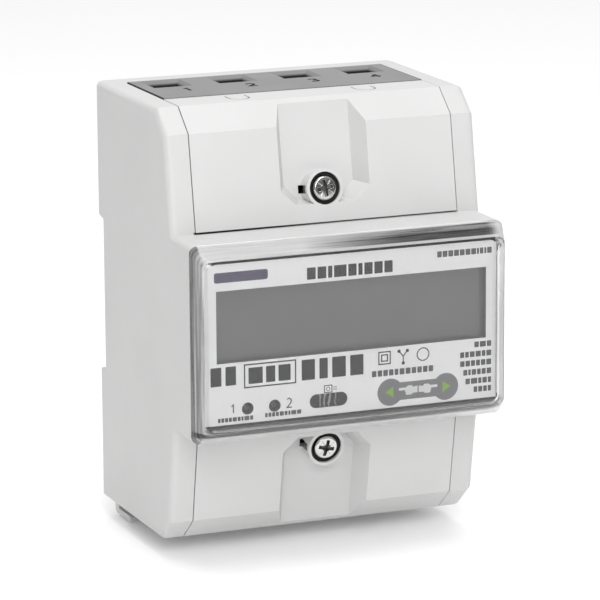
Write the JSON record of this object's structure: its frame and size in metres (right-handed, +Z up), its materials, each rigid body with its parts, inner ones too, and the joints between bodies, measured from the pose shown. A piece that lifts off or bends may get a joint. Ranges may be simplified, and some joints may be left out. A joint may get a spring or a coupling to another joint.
{
  "type": "three-phase energy meter",
  "caption": "Rail-mounted three-phase energy meter: stepped body, clear front window over a display, screwed terminal covers above and below, and sprung rail clips.",
  "frame": {"origin": "middle of the flat seat that rests on the mounting rail", "axes": "+X to the right seen from the front, +Y out of the back towards the rail, +Z up"},
  "size_m": [0.076, 0.067, 0.1045],
  "materials": {
    "housing_plastic": "fine moulded texture",
    "rear_plastic": "fine moulded texture",
    "cover_plastic": "fine moulded texture",
    "terminal_plastic": "fine moulded texture",
    "clip_plastic": "smooth",
    "clear_window": "clear polycarbonate",
    "plate_print": "satin, printed",
    "carrier_plastic": "smooth",
    "display_cell": "smooth",
    "light_guide": "milky",
    "board_laminate": "solder mask",
    "lamp_resin": "tinted, clear",
    "optic_resin": "dark, smooth",
    "black_resin": "moulded",
    "nickel_steel": "nickel plated",
    "plain_steel": "zinc plated",
    "spring_steel": "drawn wire",
    "cage_steel": "zinc plated",
    "copper": "rolled copper",
    "pin_brass": "plain",
    "winding_resin": "cast",
    "transformer_tape": "wound tape",
    "capacitor_sleeve": "shrunk sleeve"
  },
  "bodies": {
    "meter": {"main_housing": "housing_plastic", "rear_plate": "rear_plastic", "upper_terminal_cover": "cover_plastic", "lower_terminal_cover": "cover_plastic", "cover_screws": "nickel_steel", "front_window": "clear_window", "nameplate": "plate_print", "display_carrier": "carrier_plastic", "display_glass": "display_cell", "backlight_plate": "light_guide", "display_board": "board_laminate", "left_pulse_lamp": "lamp_resin", "right_pulse_lamp": "lamp_resin", "optical_emitter": "optic_resin", "optical_receiver": "optic_resin", "left_touch_spring": "spring_steel", "right_touch_spring": "spring_steel", "main_board": "board_laminate", "board_header": "black_resin", "meter_chip": "black_resin", "processor_chip": "black_resin", "supply_transformer": "transformer_tape", "supply_capacitors": "capacitor_sleeve", "voltage_pins": "pin_brass", "board_screws": "plain_steel", "upper_terminal_block": "terminal_plastic", "lower_terminal_block": "terminal_plastic", "upper_clamp_1": "cage_steel", "upper_clamp_2": "cage_steel", "upper_clamp_3": "cage_steel", "upper_clamp_4": "cage_steel", "lower_clamp_1": "cage_steel", "lower_clamp_2": "cage_steel", "lower_clamp_3": "cage_steel", "lower_clamp_4": "cage_steel", "upper_terminal_screws": "nickel_steel", "lower_terminal_screws": "nickel_steel", "current_bar_1": "copper", "current_bar_2": "copper", "current_bar_3": "copper", "neutral_bar": "copper", "current_transformer_1": "winding_resin", "current_transformer_2": "winding_resin", "current_transformer_3": "winding_resin", "housing_screws": "plain_steel", "left_clip_spring": "spring_steel", "right_clip_spring": "spring_steel"},
    "left_clip": {"left_rail_clip": "clip_plastic"},
    "right_clip": {"right_rail_clip": "clip_plastic"}
  },
  "joints": [
    {"name": "left_clip_slide", "type": "slide", "parent": "meter", "child": "left_clip", "axis": [0, 0, -1], "range_m": [0, 0.004], "stiffness_N_per_m": 500, "springref_m": -0.002, "deforming": ["left_clip_spring"]},
    {"name": "right_clip_slide", "type": "slide", "parent": "meter", "child": "right_clip", "axis": [0, 0, -1], "range_m": [0, 0.004], "stiffness_N_per_m": 500, "springref_m": -0.002, "deforming": ["right_clip_spring"]}
  ]
}
